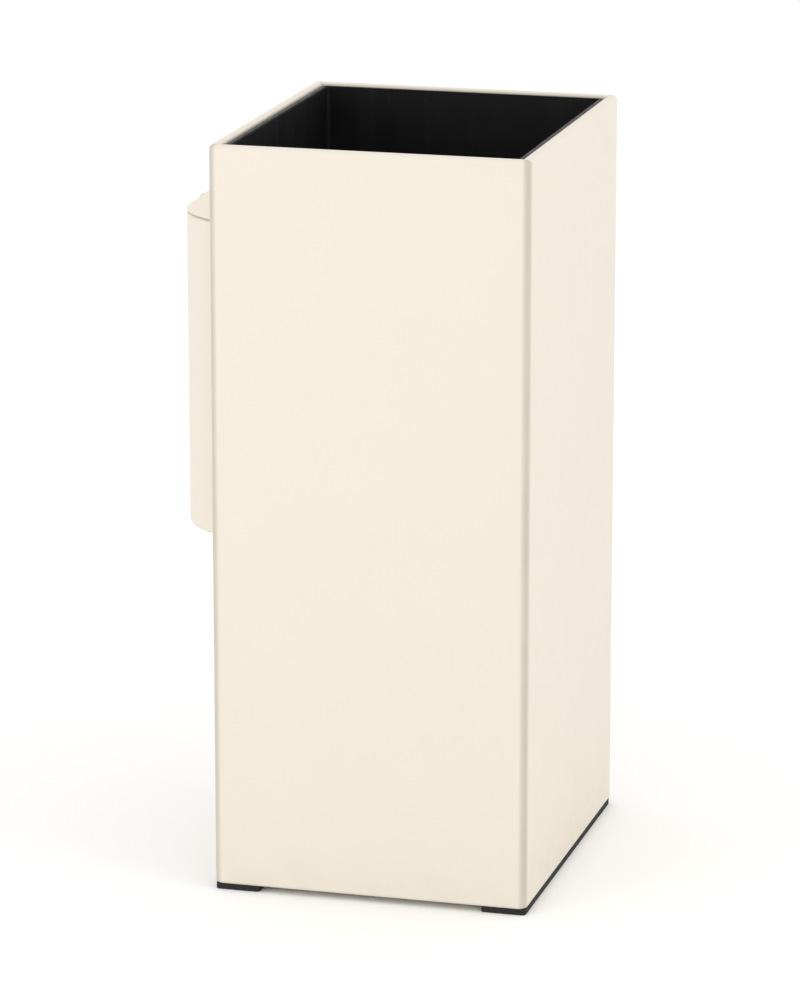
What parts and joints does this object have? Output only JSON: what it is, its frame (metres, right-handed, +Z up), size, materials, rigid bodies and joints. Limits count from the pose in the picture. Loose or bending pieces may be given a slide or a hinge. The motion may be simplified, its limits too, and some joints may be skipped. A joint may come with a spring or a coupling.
{
  "type": "ashtray bin",
  "caption": "Square-column open-top litter bin with a lift-out liner and a half-round wall ashtray under a hinged sloping lid.",
  "frame": {"origin": "on the floor, at the centre of the whole object's footprint box; the square column's own centre line is 30.5 mm to +X of it, because the ashtray stands 61 mm off the -X wall", "axes": "+Z up, front face towards -Y, right side towards +X, ashtray on the -X wall"},
  "size_m": [0.316, 0.3, 0.6],
  "materials": {
    "cream_powder_coat": "satin cream polyester powder coat with a fine orange-peel texture",
    "black_powder_coat": "matt black powder coat",
    "liner_black": "semi-matt black powder coat inside and out",
    "runner_rubber": "matt black moulded rubber",
    "seal_rubber": "grey-brown sponge rubber",
    "zinc_plate": "bright zinc plate",
    "zinc_wire": "bright zinc-plated wire",
    "stainless": "brushed stainless steel",
    "galvanised_sheet": "spangled galvanised sheet"
  },
  "bodies": {
    "bin": {"outer_shell": "cream_powder_coat", "base_plate": "black_powder_coat", "runner_left": "runner_rubber", "runner_right": "runner_rubber", "runner_screws": "zinc_plate", "runner_washers": "zinc_plate", "runner_nuts": "zinc_plate", "ash_bracket": "cream_powder_coat", "bracket_bolts": "zinc_plate", "bracket_washers": "zinc_plate", "bracket_nuts": "zinc_plate"},
    "liner": {"liner_wall": "liner_black", "liner_floor": "liner_black", "liner_hem": "liner_black", "handle_ears": "zinc_plate", "ear_rivets": "zinc_plate"},
    "handle_left": {"handle_left": "zinc_wire"},
    "handle_right": {"handle_right": "zinc_wire"},
    "ashtray": {"pot_shell": "cream_powder_coat", "pot_floor": "cream_powder_coat", "back_plate": "cream_powder_coat", "pot_hanger": "cream_powder_coat", "hinge_leaf_fixed": "stainless", "back_plate_rivets": "stainless", "wall_bumpers": "runner_rubber", "lid_seal": "seal_rubber", "hinge_pin": "stainless", "ash_bucket": "galvanised_sheet", "bucket_strap": "galvanised_sheet"},
    "lid": {"ash_lid": "cream_powder_coat", "hinge_leaf_lid": "stainless", "stub_plate": "stainless", "stub_plate_rivets": "stainless"}
  },
  "joints": [
    {"name": "liner_lift", "type": "slide", "parent": "bin", "child": "liner", "axis": [0, 0, 1], "range_m": [0, 0.6]},
    {"name": "handle_left_swing", "type": "hinge", "parent": "liner", "child": "handle_left", "pos_m": [-0.0758, 0, 0.532], "axis": [0, -1, 0], "range_deg": [-5, 150]},
    {"name": "handle_right_swing", "type": "hinge", "parent": "liner", "child": "handle_right", "pos_m": [0.1368, 0, 0.532], "axis": [0, 1, 0], "range_deg": [-5, 150]},
    {"name": "ashtray_lift", "type": "slide", "parent": "bin", "child": "ashtray", "axis": [0, 0, 1], "range_m": [0, 0.345]},
    {"name": "lid_hinge", "type": "hinge", "parent": "ashtray", "child": "lid", "pos_m": [-0.1012, 0, 0.56547], "axis": [0, 1, 0], "range_deg": [0, 105]}
  ]
}
